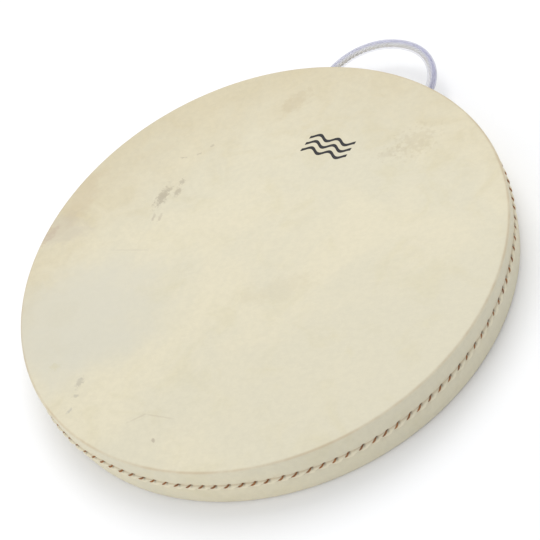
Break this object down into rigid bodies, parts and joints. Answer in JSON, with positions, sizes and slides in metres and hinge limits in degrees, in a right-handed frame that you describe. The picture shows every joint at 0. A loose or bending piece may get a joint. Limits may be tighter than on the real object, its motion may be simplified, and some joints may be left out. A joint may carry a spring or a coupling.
{
  "type": "double-headed frame drum",
  "caption": "Flat round drum with a hide head on each side, sewn to each other round a bentwood hoop, loose shot inside and a hose-covered cord loop to carry it by.",
  "frame": {"origin": "middle of the rear head's face, on which the drum lies", "axes": "+Z is the drum's axis, out of the front head; +Y points to the carrying loop; +X is to the right when looking at the front head with the loop at the top"},
  "size_m": [0.508, 0.5662, 0.052],
  "materials": {
    "hide": "scraped goat rawhide, cream, slightly mottled, matt with a faint sheen",
    "hoop_wood": "bentwood strip, pale brown, planed",
    "seam_thread": "waxed twisted thread, reddish brown",
    "clear_hose": "clear soft plastic hose with a faint lavender tint",
    "white_cord": "twisted white cord",
    "tack_steel": "plain steel tack",
    "shot_steel": "steel shot"
  },
  "bodies": {
    "drum": {"hoop": "hoop_wood", "scarf_tacks": "tack_steel", "front_head": "hide", "rear_head": "hide", "seam_thread": "seam_thread", "seam_finish_knot": "seam_thread", "cord_end_left": "white_cord", "cord_end_right": "white_cord", "cord_knot_left": "white_cord", "cord_knot_right": "white_cord"},
    "carrying_loop": {"handle_hose": "clear_hose", "handle_cord": "white_cord"},
    "shot_near": {"shot_inner": "shot_steel"},
    "shot_between": {"shot_middle": "shot_steel"},
    "shot_far": {"shot_outer": "shot_steel"}
  },
  "joints": [
    {"name": "loop_swing", "type": "hinge", "parent": "drum", "child": "carrying_loop", "pos_m": [0, 0.2458, 0.021], "axis": [1, 0, 0], "range_deg": [-42, 18]},
    {"name": "shot_roll_inner", "type": "hinge", "parent": "drum", "child": "shot_near", "pos_m": [0, 0, 0.0038], "axis": [0, 0, 1], "continuous": true},
    {"name": "shot_roll_middle", "type": "hinge", "parent": "drum", "child": "shot_between", "pos_m": [0, 0, 0.0038], "axis": [0, 0, 1], "continuous": true},
    {"name": "shot_roll_outer", "type": "hinge", "parent": "drum", "child": "shot_far", "pos_m": [0, 0, 0.0038], "axis": [0, 0, 1], "continuous": true}
  ]
}
